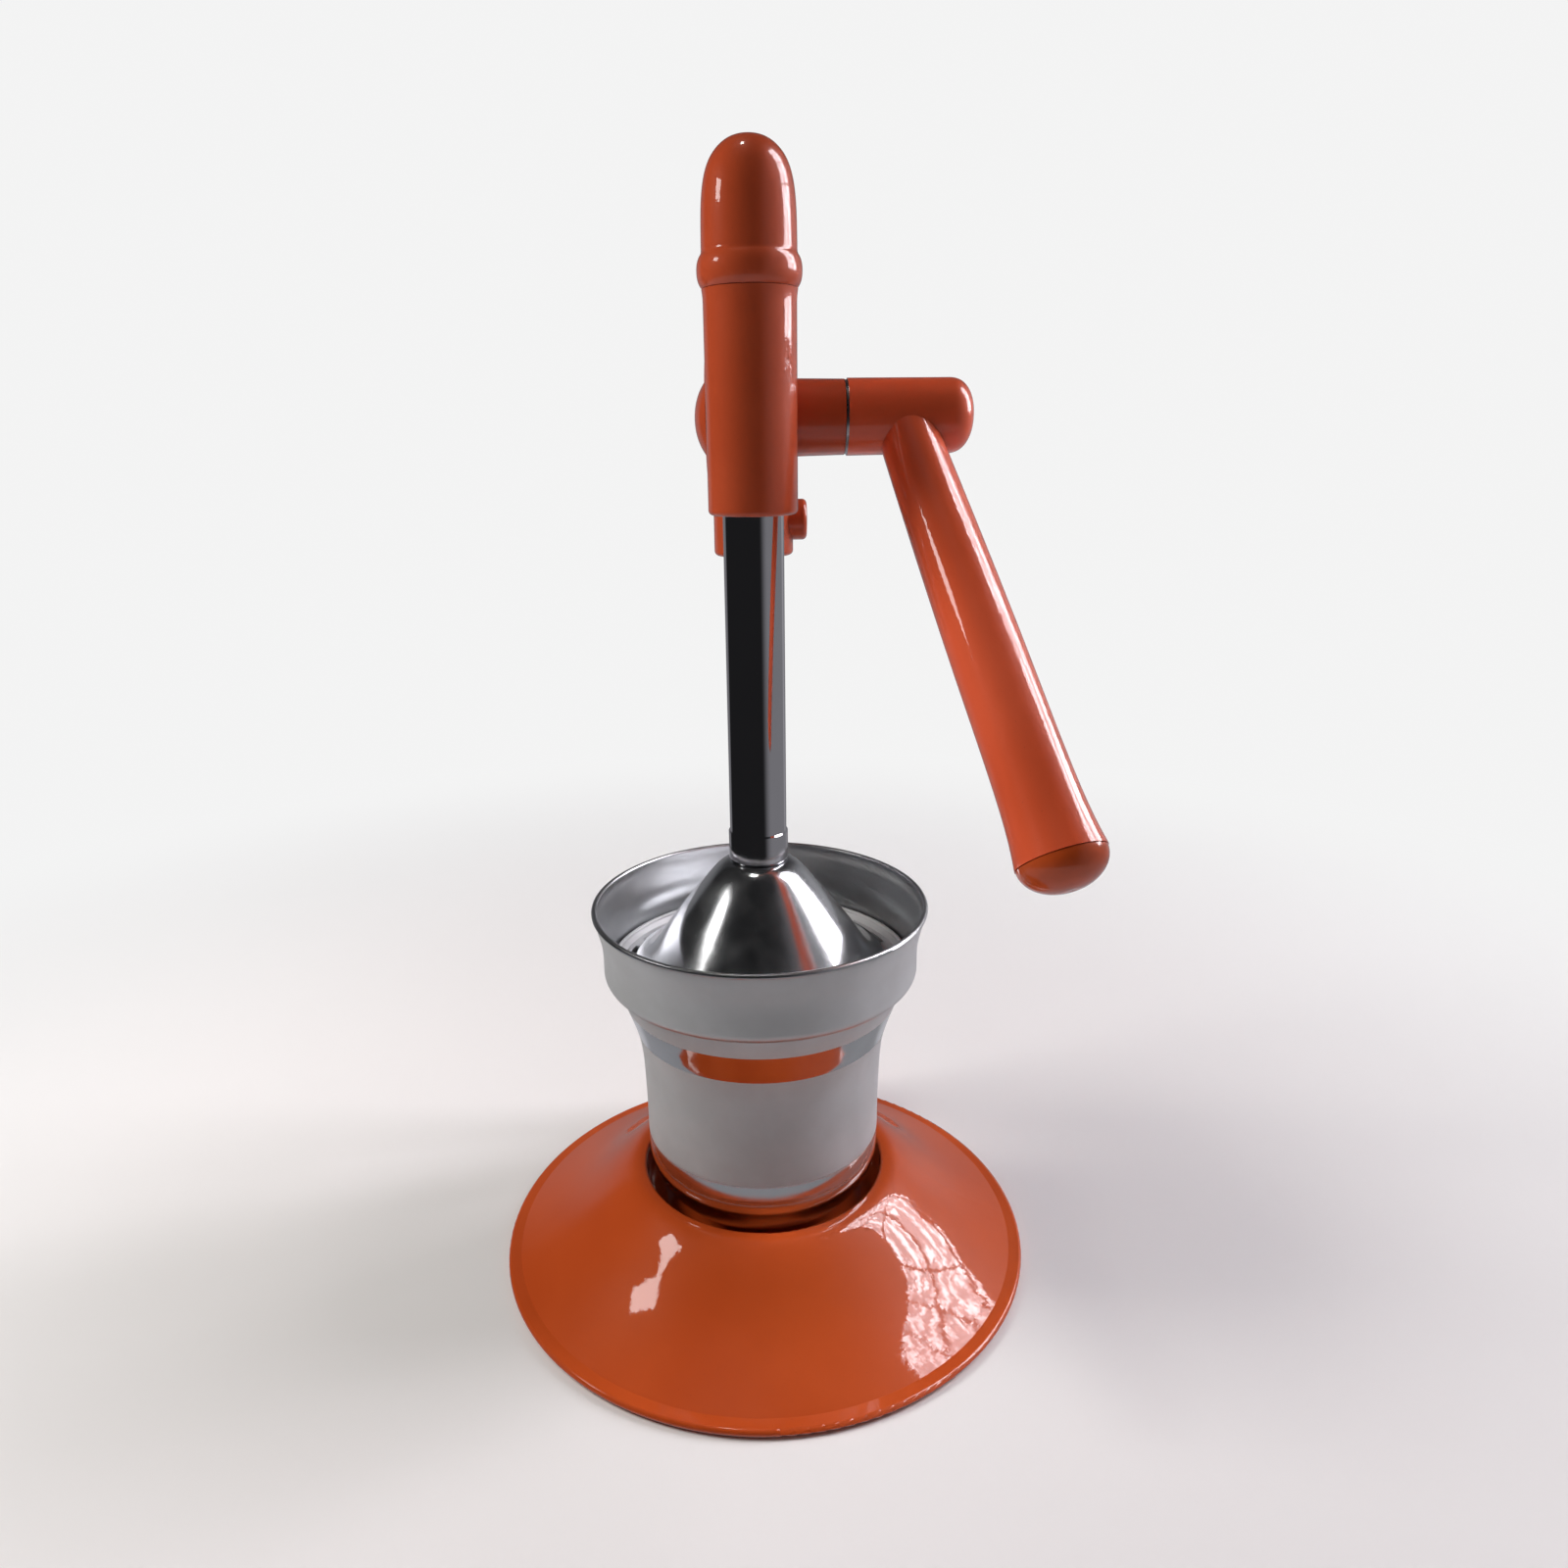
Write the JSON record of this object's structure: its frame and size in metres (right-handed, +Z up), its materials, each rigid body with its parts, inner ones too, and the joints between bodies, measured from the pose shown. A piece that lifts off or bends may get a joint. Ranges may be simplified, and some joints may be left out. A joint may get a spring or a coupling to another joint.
{
  "type": "citrus press juicer",
  "caption": "Hand-lever citrus press: domed round base, rear column, geared head with swinging lever, sliding press cone, strainer bowl and steel juice cup.",
  "frame": {"origin": "centre of the underside of the base, on the surface the press stands on; the press rod, cone, strainer and cup share the Z axis above it", "axes": "+Z up, +X towards the lever side (the user's right), +Y to the rear, where the column stands; the user stands at -Y"},
  "size_m": [0.2012, 0.2, 0.3867],
  "materials": {
    "orange_enamel": "gloss",
    "chrome_plate": "polished",
    "polished_steel": "mirror polished",
    "stainless_steel": "satin with polished bands",
    "zinc_steel": "zinc plated",
    "gear_steel": "machined, greased",
    "bronze_bush": "turned",
    "rubber_pad": "matt"
  },
  "bodies": {
    "frame": {"base": "orange_enamel", "base_pad": "rubber_pad", "cup_pad": "rubber_pad", "column": "chrome_plate", "column_plug": "zinc_steel", "column_washer": "zinc_steel", "column_bolt": "zinc_steel", "head_casting": "orange_enamel", "gear_cover": "orange_enamel", "cover_screws": "zinc_steel", "column_set_screw": "zinc_steel", "lower_guide_bush": "bronze_bush", "upper_guide_bush": "bronze_bush", "top_cap": "orange_enamel", "left_shaft_bush": "bronze_bush", "right_shaft_bush": "bronze_bush"},
    "lever_unit": {"lever": "orange_enamel", "hub_set_screw": "zinc_steel", "lever_end_cap": "orange_enamel", "hub_washer": "zinc_steel", "pinion": "gear_steel", "pinion_key": "zinc_steel", "pinion_shaft": "zinc_steel"},
    "press": {"press_rod": "chrome_plate", "rod_ferrule": "chrome_plate", "press_cone": "polished_steel", "cone_washer": "zinc_steel", "cone_screw": "zinc_steel"},
    "cup": {"juice_cup": "stainless_steel"},
    "strainer": {"strainer_bowl": "stainless_steel", "strainer_filter": "stainless_steel"}
  },
  "joints": [
    {"name": "lever_turn", "type": "hinge", "parent": "frame", "child": "lever_unit", "pos_m": [0, 0.022, 0.307], "axis": [-1, 0, 0], "range_deg": [0, 204]},
    {"name": "press_slide", "type": "slide", "parent": "frame", "child": "press", "axis": [0, 0, 1], "range_m": [0, 0.05]},
    {"name": "cup_turn", "type": "hinge", "parent": "frame", "child": "cup", "pos_m": [0, 0, 0.02], "axis": [0, 0, 1], "continuous": true},
    {"name": "strainer_turn", "type": "hinge", "parent": "cup", "child": "strainer", "pos_m": [0, 0, 0.114], "axis": [0, 0, 1], "continuous": true}
  ],
  "couplings": [
    {"joint": "press_slide", "follows": "lever_turn", "m_per_rad": 0.014}
  ]
}
